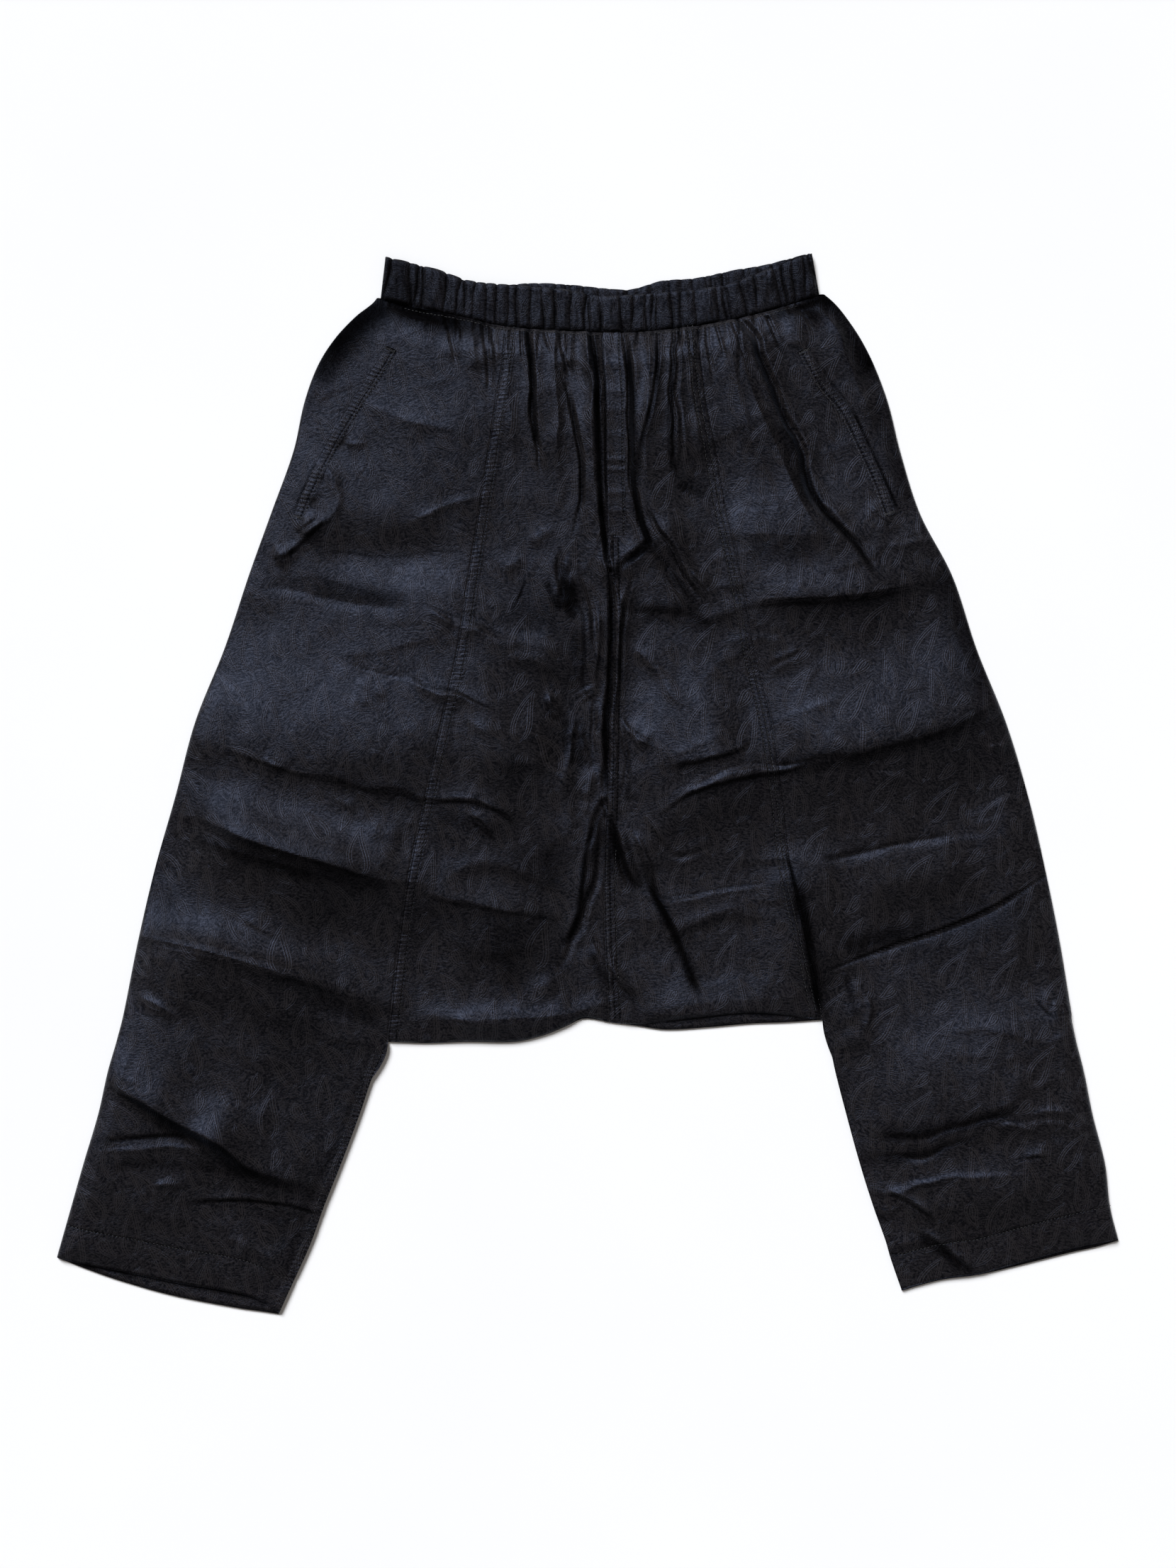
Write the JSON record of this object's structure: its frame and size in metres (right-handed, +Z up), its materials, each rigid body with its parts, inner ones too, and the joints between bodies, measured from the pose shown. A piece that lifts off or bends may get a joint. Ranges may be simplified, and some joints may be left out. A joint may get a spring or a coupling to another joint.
{
  "type": "harem pants laid flat",
  "caption": "Harem pants in dark jacquard cloth laid flat, front up: gathered elastic waistband, dropped crotch, slanting pockets, tapered cropped legs.",
  "frame": {"origin": "on the surface the garment lies on, below the middle of its outline", "axes": "+Z up out of the surface, +Y from the hems to the waistband, +X to the right as seen from above"},
  "size_m": [0.866, 0.866, 0.0109],
  "materials": {
    "jacquard_cloth": "blue-black jacquard with a soft satin sheen and a tonal paisley figure, lightly crumpled",
    "waistband_cloth": "the same blue-black cloth, closely gathered over elastic"
  },
  "bodies": {
    "root": {"waistband_front": "waistband_cloth", "waistband_back": "waistband_cloth", "front_centre_left": "jacquard_cloth", "front_centre_right": "jacquard_cloth", "front_side_left": "jacquard_cloth", "front_side_right": "jacquard_cloth", "back_centre_left": "jacquard_cloth", "back_centre_right": "jacquard_cloth", "back_side_left": "jacquard_cloth", "back_side_right": "jacquard_cloth", "fly_placket": "jacquard_cloth", "pocket_edge_left": "jacquard_cloth", "pocket_edge_right": "jacquard_cloth"}
  },
  "joints": []
}
